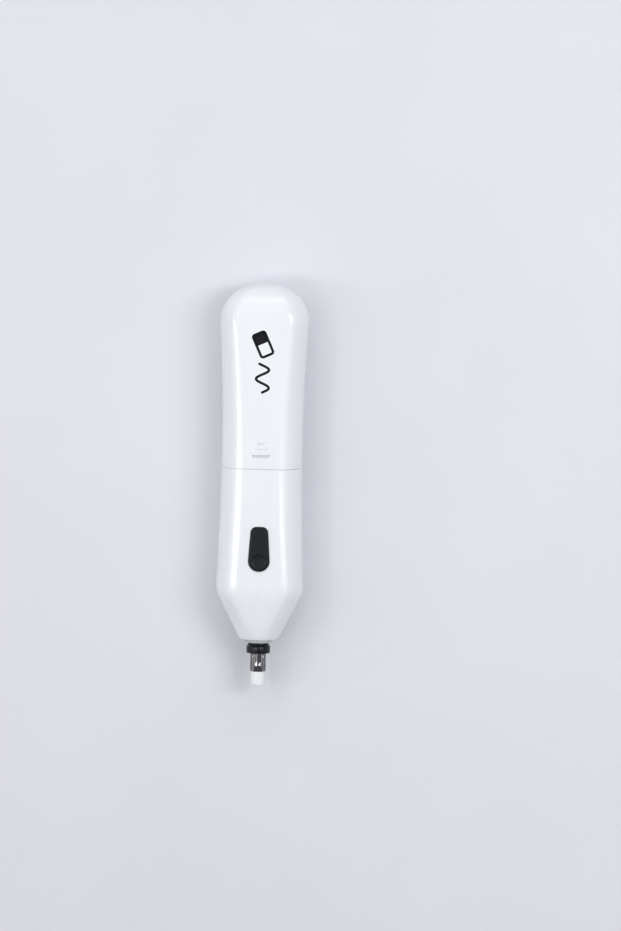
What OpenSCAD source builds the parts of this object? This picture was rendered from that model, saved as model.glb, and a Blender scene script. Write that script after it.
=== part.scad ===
// Battery-driven electric eraser, lying on its flat back.
// +Y runs along the body from the eraser tip to the cap, +Z points up through the switch.
// A station is a distance along the body, measured from the nose face towards the cap.

/* [Body] */
// Nose face to the top of the cap
body_l = 111.4; // [111:0.1:114]
// Half of the thickness between the flat front and the flat back
half_depth = 10.4; // [10.2:0.1:11]
// Radius at the waist
waist_r = 12.6; // [12.5:0.1:13]
// Station of the waist
waist_s = 62.3; // [60:0.1:65]
// How much the radius grows from the waist to the shoulder above the nose
shoulder_swell = 1.1; // [0.8:0.1:1.4]
// How much the radius grows from the waist to the dome of the cap
dome_swell = 1.2; // [0.8:0.1:1.4]
// Radius of the nose at its face
nose_r = 6.6; // [6.4:0.1:7]
// Station of the crease between the nose cone and the barrel
shoulder_s = 15; // [14.5:0.1:15.5]
// Station where the dome of the cap begins
dome_s = 99; // [98:0.1:100]
// Station of the seam between housing and battery cover
seam_s = 53.9; // [53.5:0.1:54.3]

/* [Walls and gaps] */
// Wall of the two housing halves
housing_wall = 1.6; // [1.4:0.1:1.7]
// Wall of the battery cover
cover_wall = 1.35; // [1.2:0.05:1.4]
// Gap between pieces that slide or swing past each other
gap = 0.3; // [0.2:0.05:0.35]
// Gap at the seam between the closed cover and the housing
seam_gap = 0.15; // [0.1:0.05:0.3]
// Gap between pieces that are fixed in each other
fixed_gap = 0.1; // [0.05:0.01:0.12]
// Radial gap of a shaft or pin in its bearing
running_gap = 0.04; // [0.02:0.01:0.06]

/* [Chuck and eraser] */
// Diameter of the eraser
eraser_d = 4.5; // [4.4:0.1:4.7]
// Length of a new eraser
eraser_l = 24.4; // [22:0.1:25]
// How far the eraser stands out of the chuck
eraser_out = 4.34; // [3:0.1:5]
// How far the chuck stands out of the collar
chuck_out = 5.76; // [5:0.1:6]
// How far the collar stands out of the nose
collar_out = 4.4; // [4:0.1:4.6]
// Diameter of the collar
collar_d = 7.5; // [7:0.1:7.6]

/* [Switch] */
// Station of the middle of the round end of the switch
pad_s = 25.4; // [25.2:0.1:25.8]
// Radius of the round end of the switch
pad_r = 3.05; // [2.9:0.05:3.3]
// Station of the narrow end of the switch
switch_end_s = 35.8; // [35.4:0.1:36]
// Width of the narrow end of the switch
switch_end_w = 4.9; // [4.6:0.1:5.4]
// How far the switch stands above the flat front
switch_proud = 0.9; // [0.7:0.1:1]

/* [Power] */
// Diameter of an AAA cell
cell_d = 10.3; // [10:0.1:10.4]
// Length of an AAA cell with its nub
cell_l = 44.5; // [44:0.1:44.5]
// Diameter of the motor can
motor_d = 15.5; // [15:0.1:15.6]
// Thickness of the motor across its flats
motor_t = 12.1; // [12:0.1:12.1]
// Diameter of the motor shaft
shaft_d = 2; // [1.5:0.1:2]

/* [Hidden] */

big = 60;
tip_s = -collar_out - chuck_out - eraser_out;
mid_s = (body_l + tip_s) / 2;
fine = 96;
medium = 48;

dome_power = 2.2;
dome_steps = 8;
dome_last_angle = 82;
barrel_steps = 8;
nose_round = 0.9;
nose_flat_half = 6.9;
flat_end_s = dome_s + 2;
cone_slope = (waist_r + shoulder_swell - nose_r) / (shoulder_s - nose_round);

nose_hole_r = 4.1;
nose_ring_r = 4.3;
nose_ring_l = 1;
nose_ring_in_r = 3.55;
mouth_s = -collar_out - chuck_out;
hub_end_s = 20.4;
hub_floor_s = 12.2;
hub_r = 3.9;
neck_r = 3.2;
collet_in_r = eraser_d / 2 + running_gap;
collet_out_r = collet_in_r + 0.15;
collet_bulge = 0.06;
collet_inner_s = 8;
slot_w = 0.35;

motor_s = 22.6;
can_end_s = 42;
bell_end_s = 44.6;
can_wall = 0.4;
shaft_r = shaft_d / 2;
bush_r = 2;
armature_r = 5.2;
core_s = 26;
core_end_s = 36;
commutator_s = 38.6;
commutator_end_s = 41.6;
commutator_r = 2.2;

switch_s = pad_s - pad_r;
switch_corner = 1.5;
switch_gap = 0.25;
face_in = half_depth - housing_wall;
flange_z = face_in - gap;
flange_t = 0.75;
hinge_s = 38;
hinge_z = 8.1;
hinge_r = 0.5;
ear_x = 2.6;
ear_w = 1.2;
arm_half = 2;
leaf_z = 7.45;
leaf_t = 0.2;
leaf_w = 3;
base_z = motor_t / 2 + 0.05;
base_t = 0.3;

cell_x = cell_d / 2 + 0.05;
cell_gap = 0.1;
nub_r = 1.9;
nub_l = 0.9;
plate_s = 51.4;
plate_end_s = 53;
bay_s = 55.2;
bay_end_s = bay_s + cell_l + 3.5;
sheet_t = 0.3;
contact_w = 7;
tab_x = [1.8, 2.9];
tab_z = [3.05, 3.35];

screw_places = [[6.3, 17.5], [5, 48.6]];
screw_r = 1;
screw_head_r = 1.8;
screw_head_h = 1.5;
screw_head_z = -7;
screw_l = 12;
boss_r = 1.9;
recess_r = 2.1;
recess_wall = 0.7;
recess_floor = 1.2;

shell_white = [0.93, 0.94, 0.95];
switch_black = [0.09, 0.10, 0.12];
steel = [0.75, 0.76, 0.78];
chrome = [0.86, 0.87, 0.88];
copper = [0.72, 0.42, 0.20];
brass = [0.80, 0.66, 0.35];
rubber_white = [0.90, 0.91, 0.91];
holder_grey = [0.82, 0.83, 0.84];

// ---- helpers ----

// Moves a piece from its place on the body's axis to its place on the table
module place() {
    translate([0, -mid_s, half_depth]) children();
}

// A round bar along the body from one station to another
module bar(r, from, to, x = 0, z = 0) {
    translate([x, from, z]) rotate([-90, 0, 0]) cylinder(r = r, h = to - from, $fn = fine);
}

// A block between two corners, given as [x, station, z]
module block(low, high) {
    translate(low) cube(high - low);
}

// A shape turned about the body's axis, from [radius, station] points
module turned(points) {
    rotate([-90, 0, 0]) rotate_extrude($fn = fine) polygon(points);
}

// A slab across the body, from [station, half height] points
module slab(points) {
    last = len(points) - 1;
    below = [for (i = [last:-1:0]) [points[i][0], -points[i][1]]];
    translate([-big / 2, 0, 0]) rotate([90, 0, 90]) linear_extrude(big)
        polygon(concat(points, below));
}

// A round bar whose ends are flattened like the motor
module flatted_bar(r, half, from, to) {
    intersection() {
        bar(r, from, to);
        block([-r - 1, from - 1, -half], [r + 1, to + 1, half]);
    }
}

// A vertical post
module post(x, s, r, low, high) {
    translate([x, s, low]) cylinder(r = r, h = high - low, $fn = medium);
}

// ---- the outer form ----

// Radius of the barrel at a station
function barrel_r(s) = waist_r + (s < waist_s
    ? shoulder_swell * pow((waist_s - s) / (waist_s - shoulder_s), 2)
    : dome_swell * pow((s - waist_s) / (dome_s - waist_s), 2));

// A point of a dome that starts full wide at station s and rises by rise
function dome_point(full, s, rise, angle) =
    [full * pow(cos(angle), 2 / dome_power), s + rise * pow(sin(angle), 2 / dome_power)];

// The dome's outline as [half size, station] points
function dome(full, s, rise) =
    [for (i = [1:dome_steps]) dome_point(full, s, rise, dome_last_angle * i / dome_steps)];

// The outline turned about the axis, set in from the surface
function turned_outline(inset) = concat(
    [[0, inset], [nose_r - nose_round / 2 + (cone_slope - 1) * inset, inset]],
    inset == 0 ? [[nose_r, nose_round]] : [],
    [for (i = [0:barrel_steps])
        let (s = shoulder_s + (dome_s - shoulder_s) * i / barrel_steps) [barrel_r(s) - inset, s]],
    dome(barrel_r(dome_s) - inset, dome_s, body_l - inset - dome_s),
    [[0, body_l - inset]]);

// The side outline as [station, half height] points, set in from the surface
function side_outline(inset) = concat(
    [[-1, nose_flat_half - inset], [nose_round, nose_flat_half - inset],
     [shoulder_s, half_depth - inset], [flat_end_s, half_depth - inset]],
    [for (p = dome(half_depth - inset, flat_end_s, body_l + 0.4 - inset - flat_end_s)) [p[1], p[0]]],
    [[body_l + 1, 1]]);

module body_solid(inset = 0) {
    intersection() {
        turned(turned_outline(inset));
        slab(side_outline(inset));
    }
}

// ---- housing ----

// Stops the motor, the battery holder and the dust at their stations
module housing_ribs() {
    // dust wall around the hub
    difference() {
        block([-big, 11.5, -big], [big, 12.5, big]);
        bar(hub_r + 0.6, 11, 13);
    }
    // cradles of the motor
    for (s = [24.4, 40.2]) difference() {
        block([-big, s, -big], [big, s + 1.2, big]);
        flatted_bar(motor_d / 2 + fixed_gap, motor_t / 2 + fixed_gap, s - 1, s + 2);
        block([-5.2, s - 1, 0], [5.2, s + 2, big]);
    }
    // stop and lip on either side of the battery holder's plate
    for (span = [[plate_s - 1, plate_s - fixed_gap], [plate_end_s + fixed_gap, big]]) difference() {
        block([-big, span[0], -big], [big, span[1], big]);
        flatted_bar(10.6, 7.4, span[0] - 1, span[1] + 1);
    }
}

module housing_shell() {
    difference() {
        body_solid();
        difference() {
            body_solid(housing_wall);
            housing_ribs();
            for (p = screw_places, side = [-1, 1]) {
                post(side * p[0], p[1], boss_r, -big, big);
                post(side * p[0], p[1], recess_r + recess_wall, -big, screw_head_z + recess_floor);
            }
        }
        bar(nose_hole_r, -1, housing_wall + 1);
        block([-big, seam_s, -big], [big, big + big, big]);
    }
}

// The tongue that the battery cover slides over
module cover_tongue() {
    outer = half_depth - cover_wall - gap;
    block([-6, plate_end_s + 0.4, outer - 1.2], [6, 58, outer]);
    translate([-5, 56.4, outer]) rotate([0, 90, 0]) cylinder(r = 0.2, h = 10, $fn = medium);
}

// Outline of the switch, seen from the front, grown by a margin
module switch_outline(grow = 0) {
    translate([0, pad_s]) circle(r = pad_r + grow, $fn = medium);
    hull() {
        translate([0, pad_s]) circle(r = pad_r + grow, $fn = medium);
        for (side = [-1, 1])
            translate([side * (switch_end_w / 2 - switch_corner), switch_end_s - switch_corner])
                circle(r = switch_corner + grow, $fn = medium);
    }
}

// The ear that holds one end of the switch's hinge pin
module hinge_ear(side) {
    x = side > 0 ? ear_x : -ear_x - ear_w;
    difference() {
        block([x, hinge_s - 1.1, base_z + base_t + 0.05], [x + ear_w, hinge_s + 1.1, face_in + 0.4]);
        translate([x - 1, hinge_s, hinge_z]) rotate([0, 90, 0])
            cylinder(r = hinge_r + running_gap, h = ear_w + 2, $fn = medium);
    }
}

module front_housing() {
    color(shell_white) place() {
        difference() {
            housing_shell();
            block([-big, -big, -big], [big, big, 0]);
            translate([0, 0, 5]) linear_extrude(big) switch_outline(switch_gap);
            for (p = screw_places, side = [-1, 1]) post(side * p[0], p[1], screw_r, -1, 6);
        }
        for (side = [-1, 1]) hinge_ear(side);
        cover_tongue();
    }
}

module rear_housing() {
    color(shell_white) place() {
        difference() {
            housing_shell();
            block([-big, -big, -0.02], [big, big, big]);
            for (p = screw_places, side = [-1, 1]) {
                post(side * p[0], p[1], screw_r + 0.15, -big, 1);
                post(side * p[0], p[1], recess_r, -big, screw_head_z);
            }
        }
        mirror([0, 0, 1]) cover_tongue();
    }
}

// The ring that holds the two halves together at the nose
module nose_ring() {
    spigot_r = nose_hole_r - fixed_gap;
    edge = 0.1;
    color(holder_grey) place() turned([
        [nose_ring_in_r, -nose_ring_l], [nose_ring_r - edge, -nose_ring_l], [nose_ring_r, -nose_ring_l + edge],
        [nose_ring_r, -0.02], [spigot_r, -0.02], [spigot_r, housing_wall], [nose_ring_in_r, housing_wall]]);
}

module housing_screw() {
    post(0, 0, screw_r, screw_head_z, screw_head_z + screw_l);
    difference() {
        post(0, 0, screw_head_r, screw_head_z - screw_head_h, screw_head_z);
        for (turn = [0, 90]) translate([0, 0, screw_head_z - screw_head_h]) rotate(turn)
            cube([2, 0.45, 1.4], center = true);
    }
}

module housing_screws() {
    color(steel) place()
        for (p = screw_places, side = [-1, 1]) translate([side * p[0], p[1], 0]) housing_screw();
}

// ---- battery cover ----

// Three ridges that point the way the cover slides off
module grip_ridge(s, w) {
    r = 0.5;
    proud = 0.25;
    root = 0.3;
    translate([0, s, half_depth - root]) linear_extrude(root + proud) {
        square([w - 2 * r, 2 * r], center = true);
        for (side = [-1, 1]) translate([side * (w / 2 - r), 0]) circle(r = r, $fn = medium);
    }
}

module battery_cover() {
    color(shell_white) place() {
        difference() {
            body_solid();
            difference() {
                body_solid(cover_wall);
                for (side = [-1, 1]) block([side * 3 - 0.5, 62, 6.4], [side * 3 + 0.5, 98, big]);
                for (side = [-1, 1]) block([side * 3 - 0.5, 62, -big], [side * 3 + 0.5, 98, -7.2]);
            }
            block([-big, -big, -big], [big, seam_s + seam_gap, big]);
        }
        for (ridge = [[58.9, 6], [60.7, 4], [62.5, 2]]) grip_ridge(ridge[0], ridge[1]);
    }
}

// ---- battery holder, cells and contacts ----

module battery_holder() {
    color(holder_grey) place() difference() {
        union() {
            intersection() {
                body_solid(housing_wall + fixed_gap);
                block([-big, plate_s, -big], [big, plate_end_s, big]);
            }
            flatted_bar(10.4, 7.2, plate_end_s - 0.2, bay_s);
            intersection() {
                bar(10.8, bay_s - 0.2, bay_end_s + 0.2);
                block([-big, bay_s - 1, -6.6], [big, bay_end_s + 1, -2.6]);
            }
            flatted_bar(10.4, 6, bay_end_s, bay_end_s + 1.6);
        }
        for (side = [-1, 1]) {
            bar(cell_d / 2 + cell_gap, bay_s, bay_end_s, x = side * cell_x);
            // window under each cell, to push it out
            block([side * cell_x - 2, bay_s + 12, -7], [side * cell_x + 2, bay_end_s - 12, -4]);
        }
        // slots for the contacts' tabs
        for (side = [0, 1]) mirror([side, 0, 0])
            block([tab_x[0] - 0.1, plate_s - 1, tab_z[0] - 0.1], [tab_x[1] + 0.1, bay_s + 1, tab_z[1] + 0.1]);
    }
}

// An AAA cell with its nub at the low station
module cell() {
    r = cell_d / 2;
    turned([[0, 0], [nub_r, 0], [nub_r, nub_l], [r - 1, nub_l], [r - 0.8, nub_l + 0.2], [r - 0.3, nub_l + 0.2],
            [r, nub_l + 0.5], [r, cell_l - 0.3], [r - 0.3, cell_l], [0, cell_l]]);
}

module battery_1() {
    color("dimgray") place() translate([-cell_x, bay_s + sheet_t, 0]) cell();
}

module battery_2() {
    color("dimgray") place() translate([cell_x, bay_end_s - sheet_t, 0]) rotate(180) cell();
}

// A flat contact with a tab that passes through the plate
module flat_contact() {
    half = contact_w / 2;
    block([cell_x - half, bay_s, -half], [cell_x + half, bay_s + sheet_t, half]);
    block([tab_x[0], plate_s - 2.5, tab_z[0]], [tab_x[1], bay_s + sheet_t, tab_z[1]]);
}

// Points of a ring across the wire of a coil, at a turn angle
function coil_ring(r, wire, rise, turn, sides) = [for (k = [0:sides - 1])
    let (a = 360 * k / sides, q = r + wire * cos(a))
    [q * cos(turn), rise * turn / 360 + wire * sin(a), q * sin(turn)]];

// Faces of a tube of rings, with both ends closed
function tube_faces(rings, sides) = concat(
    [[for (k = [0:sides - 1]) k]],
    [for (i = [0:rings - 2], k = [0:sides - 1])
        let (n = (k + 1) % sides, a = i * sides, b = a + sides)
        each [[a + k, b + k, b + n], [a + k, b + n, a + n]]],
    [[for (k = [sides - 1:-1:0]) (rings - 1) * sides + k]]);

// A coil spring along the body, narrow at its far end
module coil(low_r, high_r, wire, length) {
    turns = 3;
    steps = 42;
    sides = 6;
    rise = (length - 2 * wire) / turns;
    rings = [for (i = [0:steps])
        coil_ring(low_r + (high_r - low_r) * i / steps, wire, rise, 360 * turns * i / steps, sides)];
    points = [for (ring = rings, p = ring) p + [0, wire, 0]];
    polyhedron(points, tube_faces(steps + 1, sides), convexity = 6);
}

module contact_positive() {
    color(steel) place() mirror([1, 0, 0]) flat_contact();
}

module contact_negative() {
    color(steel) place() {
        flat_contact();
        translate([cell_x, bay_s + sheet_t - 0.05, 0]) coil(3, 1.8, 0.25, 3.5 - 2 * sheet_t);
    }
}

module bridge_contact() {
    color(steel) place() block([-8.5, bay_end_s - sheet_t, -2.5], [8.5, bay_end_s, 3.2]);
}

module bridge_spring() {
    color(steel) place() translate([-cell_x, bay_end_s - sheet_t, 0]) rotate(180)
        coil(3, 1.8, 0.25, 3.5 - 2 * sheet_t - 0.05);
}

// ---- switch ----

module switch_button() {
    top = half_depth + switch_proud;
    bevel = 0.4;
    color(switch_black) place() {
        difference() {
            union() {
                translate([0, 0, flange_z - flange_t]) linear_extrude(top - bevel - flange_z + flange_t)
                    switch_outline();
                translate([0, 0, flange_z - flange_t]) linear_extrude(top - flange_z + flange_t)
                    switch_outline(-bevel);
                translate([0, 0, flange_z - flange_t]) linear_extrude(flange_t)
                    switch_outline(switch_gap + 0.5);
            }
            translate([0, pad_s, top - 0.25]) cylinder(r = 2.3, h = 1, $fn = fine);
        }
        // arm under the face, with the hinge pins on its sides
        block([-arm_half, switch_end_s - 2, flange_z - flange_t], [arm_half, hinge_s + 0.7, flange_z]);
        for (x = [arm_half - 0.1, -ear_x - ear_w]) translate([x, hinge_s, hinge_z]) rotate([0, 90, 0])
            cylinder(r = hinge_r, h = ear_x + ear_w - arm_half + 0.1, $fn = medium);
    }
}

module contact_leaf() {
    color(copper) place()
        block([-leaf_w / 2, pad_s - 1.2, leaf_z], [leaf_w / 2, 41.2, leaf_z + leaf_t]);
}

module contact_fixed() {
    top = base_z + base_t;
    color(copper) place() {
        block([-1.2, pad_s - 1, top], [1.2, 36.4, top + 0.12]);
        block([-4.3, 35.2, top], [-1.1, 36.4, top + 0.12]);
        post(0, pad_s, 0.7, top, top + 0.2);
    }
}

module switch_base() {
    top = base_z + base_t;
    color("saddlebrown") place() {
        block([-4.4, switch_s - 0.4, base_z], [4.4, 42, top]);
        difference() {
            block([-2.3, 39.4, base_z], [2.3, 41.4, face_in - 0.3]);
            block([-leaf_w / 2 - 0.1, 39, leaf_z - 0.1], [leaf_w / 2 + 0.1, 42, leaf_z + leaf_t + 0.1]);
        }
    }
}

// ---- motor, fixed parts ----

module motor_can() {
    color(steel) place() difference() {
        union() {
            flatted_bar(motor_d / 2, motor_t / 2, motor_s, can_end_s);
            bar(3.05, motor_s - 1.2, motor_s + 0.1);
        }
        flatted_bar(motor_d / 2 - can_wall, motor_t / 2 - can_wall, motor_s + can_wall, can_end_s + 1);
        bar(bush_r, motor_s - 2, motor_s + 2);
    }
}

module motor_magnets() {
    color([0.25, 0.25, 0.27]) place() difference() {
        flatted_bar(motor_d / 2 - can_wall - 0.05, 4.4, core_s - 1.5, core_end_s + 1.5);
        bar(armature_r + 0.4, core_s - 3, core_end_s + 3);
    }
}

module motor_end_bell() {
    color("white") place() difference() {
        union() {
            flatted_bar(motor_d / 2, motor_t / 2, can_end_s, bell_end_s);
            bar(3, bell_end_s - 0.1, bell_end_s + 1.2);
        }
        bar(5.2, can_end_s - 1, can_end_s + 1.2);
        bar(bush_r, can_end_s - 1, bell_end_s + 2);
        for (side = [-1, 1]) {
            block([side * 6 - 0.3, can_end_s - 1, -1.1], [side * 6 + 0.3, bell_end_s + 1, 1.1]);
            block([side * 2.5 - 0.2, can_end_s - 1, 4], [side * 2.5 + 0.2, can_end_s + 2, 4.6]);
        }
    }
}

module bush(from, to) {
    color(brass) place() difference() {
        bar(bush_r - 0.01, from, to);
        bar(shaft_r + running_gap, from - 1, to + 1);
    }
}

module motor_front_bush() {
    bush(motor_s - 1.3, motor_s + 1.6);
}

module motor_rear_bush() {
    bush(can_end_s + 1.2, bell_end_s + 1.1);
}

module motor_brushes() {
    color(copper) place() for (side = [-1, 1]) {
        x = side * (commutator_r + 0.25);
        block([x - 0.1, commutator_s + 0.6, -1.4], [x + 0.1, commutator_s + 2, 4.4]);
        block([x - 0.1, commutator_s + 0.6, 4.2], [x + 0.1, can_end_s + 1.8, 4.4]);
    }
}

module motor_terminals() {
    color(brass) place() for (side = [-1, 1]) difference() {
        block([side * 6 - 0.2, can_end_s + 0.2, -1], [side * 6 + 0.2, bell_end_s + 2, 1]);
        translate([side * 6 - 1, bell_end_s + 1.2, 0]) rotate([0, 90, 0])
            cylinder(r = 0.4, h = 2, $fn = medium);
    }
}

// ---- spindle ----

module motor_shaft() {
    edge = 0.2;
    from = hub_floor_s + 0.6;
    to = bell_end_s + 2;
    color(steel) place() turned([[0, from], [shaft_r - edge, from], [shaft_r, from + edge],
        [shaft_r, to - edge], [shaft_r - edge, to], [0, to]]);
}

// Cross-section of the three-pole armature
module pole_section() {
    difference() {
        union() {
            circle(r = 2.1, $fn = fine);
            for (turn = [0:120:240]) rotate(turn) {
                translate([0, -1.1]) square([4.7, 2.2]);
                intersection() {
                    difference() {
                        circle(r = armature_r, $fn = fine);
                        circle(r = armature_r - 0.8, $fn = fine);
                    }
                    polygon([[1, 0], [5.5, -5], [7, 0], [5.5, 5]]);
                }
            }
        }
        circle(r = shaft_r + 0.01, $fn = fine);
    }
}

module armature_core() {
    color(steel) place() translate([0, core_s, 0]) rotate([-90, 0, 0])
        linear_extrude(core_end_s - core_s) pole_section();
}

module armature_windings() {
    color(copper) place() for (turn = [0:120:240]) rotate([0, turn, 0]) difference() {
        block([2.3, core_s - 1.2, -2.1], [3.75, core_end_s + 1.2, 2.1]);
        block([2, core_s - 0.05, -1.15], [5, core_end_s + 0.05, 1.15]);
    }
}

module commutator() {
    color(copper) place() difference() {
        union() {
            bar(commutator_r, commutator_s, commutator_end_s);
            bar(commutator_r + 0.5, commutator_s - 0.6, commutator_s + 0.1);
        }
        bar(shaft_r + 0.01, commutator_s - 1, commutator_end_s + 1);
        for (turn = [0:120:240]) rotate([0, turn, 0])
            block([commutator_r - 0.5, commutator_s - 1, -0.15], [commutator_r + 1, commutator_end_s + 1, 0.15]);
    }
}

module chuck_hub() {
    flange_r = collar_d / 2;
    bore_r = collet_out_r + 0.02;
    color(switch_black) place() turned([
        [bore_r, -collar_out], [flange_r - 0.2, -collar_out], [flange_r, -collar_out + 0.2],
        [flange_r, -collar_out + 2], [neck_r, -collar_out + 2.9], [neck_r, 2.6], [hub_r, 3.3],
        [hub_r, hub_end_s - 0.4], [hub_r - 0.4, hub_end_s], [shaft_r + 0.01, hub_end_s],
        [shaft_r + 0.01, hub_floor_s], [bore_r, hub_floor_s]]);
}

module collet() {
    slots = 4;
    color(chrome) place() difference() {
        turned([
            [collet_in_r, mouth_s + 0.1], [collet_in_r + 0.06, mouth_s], [collet_out_r, mouth_s + 0.05],
            [collet_out_r + collet_bulge, mouth_s + 0.5], [collet_out_r, mouth_s + 1.6],
            [collet_out_r, collet_inner_s], [collet_in_r, collet_inner_s]]);
        for (i = [0:slots - 1]) rotate([0, 45 + 360 * i / slots, 0])
            block([0, mouth_s - 1, -slot_w / 2], [collet_out_r + 1, -collar_out + 1, slot_w / 2]);
    }
}

module eraser_stick() {
    r = eraser_d / 2;
    edge = 0.2;
    to = tip_s + eraser_l;
    color(rubber_white) place() turned([[0, tip_s], [r - edge, tip_s], [r, tip_s + edge],
        [r, to - edge], [r - edge, to], [0, to]]);
}

// ---- wires ----

wire_r = 0.45;
red_route = [[-2.3, 48.8, 3.9], [-2.1, 47.2, 4.9], [-1.5, 45.6, 6.4], [-0.7, 44, 7.2], [0, 42.3, 7.5]];
white_route = [[-6.8, 45.8, 0.4], [-7.7, 46.1, 1.6], [-8.1, 45.5, 3.4], [-7.3, 44.2, 5.4], [-5.8, 43, 7],
               [-4.6, 41.6, 7.6], [-4.4, 39, 7.4], [-4.35, 37, 7.05], [-4.35, 35.9, 7]];
black_route = [[2.3, 48.8, 3.9], [2.6, 47, 4.6], [4, 45.6, 4.8], [5.8, 45.4, 3.8], [6.8, 45.6, 2.2], [6.9, 45.8, 0.8]];

// A ring of points around a route, at one of its points
function route_ring(route, i, sides) =
    let (last = len(route) - 1,
         run = route[min(i + 1, last)] - route[max(i - 1, 0)],
         ahead = run / norm(run),
         across = cross(ahead, [0, 0.3, 1]) / norm(cross(ahead, [0, 0.3, 1])),
         up = cross(across, ahead))
    [for (k = [0:sides - 1]) let (a = -360 * k / sides) route[i] + wire_r * (across * cos(a) + up * sin(a))];

module wire(route) {
    sides = 8;
    points = [for (i = [0:len(route) - 1], p = route_ring(route, i, sides)) p];
    polyhedron(points, tube_faces(len(route), sides), convexity = 4);
}

module wire_red() {
    color("firebrick") place() wire(red_route);
}

module wire_white() {
    color("white") place() wire(white_route);
}

module wire_black() {
    color("black") place() wire(black_route);
}

front_housing();
rear_housing();
battery_cover();
nose_ring();
housing_screws();
battery_holder();
battery_1();
battery_2();
contact_positive();
contact_negative();
bridge_contact();
bridge_spring();
switch_button();
contact_leaf();
contact_fixed();
switch_base();
motor_can();
motor_magnets();
motor_end_bell();
motor_front_bush();
motor_rear_bush();
motor_brushes();
motor_terminals();
motor_shaft();
armature_core();
armature_windings();
commutator();
chuck_hub();
collet();
eraser_stick();
wire_red();
wire_white();
wire_black();
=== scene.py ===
import math

import bmesh
import bpy
from mathutils import Matrix, Vector


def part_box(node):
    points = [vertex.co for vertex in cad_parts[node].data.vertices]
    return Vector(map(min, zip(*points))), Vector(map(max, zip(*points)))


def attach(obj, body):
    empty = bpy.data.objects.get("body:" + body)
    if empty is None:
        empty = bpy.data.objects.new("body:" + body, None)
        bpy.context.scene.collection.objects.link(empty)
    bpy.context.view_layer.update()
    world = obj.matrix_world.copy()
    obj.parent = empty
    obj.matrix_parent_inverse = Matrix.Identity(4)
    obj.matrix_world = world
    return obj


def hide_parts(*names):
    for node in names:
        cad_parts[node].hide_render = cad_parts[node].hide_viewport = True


# The looks of a battery-driven electric eraser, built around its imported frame.
# Shapes are worked out in millimetres about the body's axis: x across, s the station along the
# body from the nose face, z up from the axis. place() turns them into metres in the frame.

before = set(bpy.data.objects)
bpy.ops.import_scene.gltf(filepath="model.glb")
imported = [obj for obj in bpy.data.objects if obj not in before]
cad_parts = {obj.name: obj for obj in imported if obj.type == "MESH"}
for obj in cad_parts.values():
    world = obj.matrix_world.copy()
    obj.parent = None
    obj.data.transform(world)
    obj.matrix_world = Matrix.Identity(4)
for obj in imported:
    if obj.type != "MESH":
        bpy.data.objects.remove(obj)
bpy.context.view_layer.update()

MM = 0.001
BODY_L = 111.4
NOSE_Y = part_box("battery_cover")[1].y - BODY_L * MM
AXIS_Z = (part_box("eraser_stick")[0].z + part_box("eraser_stick")[1].z) / 2


def place(x, s, z):
    """A point in the frame, in metres."""
    return Vector((x * MM, NOSE_Y + s * MM, AXIS_Z + z * MM))


def station(y):
    """The station of a frame position along Y."""
    return (y - NOSE_Y) / MM


def reach(node):
    """The stations where a CAD node begins and ends."""
    low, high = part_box(node)
    return station(low.y), station(high.y)


def middle_and_radius(node):
    """The middle and the half width of a CAD node across the body."""
    low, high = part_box(node)
    return (low.x + high.x) / 2 / MM, (high.x - low.x) / 2 / MM


# ---- camera ----

CAMERA_DISTANCE = 1.5
CAMERA_TILT = math.radians(4.5)
CAMERA_SIDE = math.radians(1.6)
CAMERA_ROLL = math.radians(1.2)
PICTURE_HEIGHT = 0.2911
LOOK_RIGHT = 0.0153
LOOK_UP = 0.006
SENSOR = 36.0


def make_camera():
    """Looks down on the flat front, a little from the cap's side, with the eraser left of the middle."""
    data = bpy.data.cameras.new("camera")
    data.sensor_fit = "VERTICAL"
    data.sensor_height = SENSOR
    data.lens = SENSOR * CAMERA_DISTANCE / PICTURE_HEIGHT
    data.clip_end = 20
    back = Vector((math.tan(CAMERA_SIDE), math.tan(CAMERA_TILT), 1)).normalized()
    level = Vector((0, 1, 0)).cross(back).normalized()
    rise = back.cross(level)
    right = math.cos(CAMERA_ROLL) * level + math.sin(CAMERA_ROLL) * rise
    up = back.cross(right)
    middle = Vector((0, 0, AXIS_Z))
    at = middle + LOOK_RIGHT * right + LOOK_UP * up + CAMERA_DISTANCE * back
    camera = bpy.data.objects.new("camera", data)
    camera.matrix_world = Matrix.Translation(at) @ Matrix((right, up, back)).transposed().to_4x4()
    bpy.context.scene.collection.objects.link(camera)
    bpy.context.scene.camera = camera


# ---- lights and floor ----

def area_light(name, start, end, width, power, aim=(0, 0, 0)):
    """A flat soft light from one end point to another, so wide, turned towards a point."""
    start, end = Vector(start), Vector(end)
    middle = (start + end) / 2
    along = (end - start).normalized()
    out = middle - Vector(aim)
    out = (out - out.dot(along) * along).normalized()
    data = bpy.data.lights.new(name, "AREA")
    data.shape = "RECTANGLE"
    data.size = (end - start).length
    data.size_y = width
    data.energy = power
    light = bpy.data.objects.new(name, data)
    turn = Matrix((along, out.cross(along), out)).transposed().to_4x4()
    light.matrix_world = Matrix.Translation(middle) @ turn
    bpy.context.scene.collection.objects.link(light)


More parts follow.
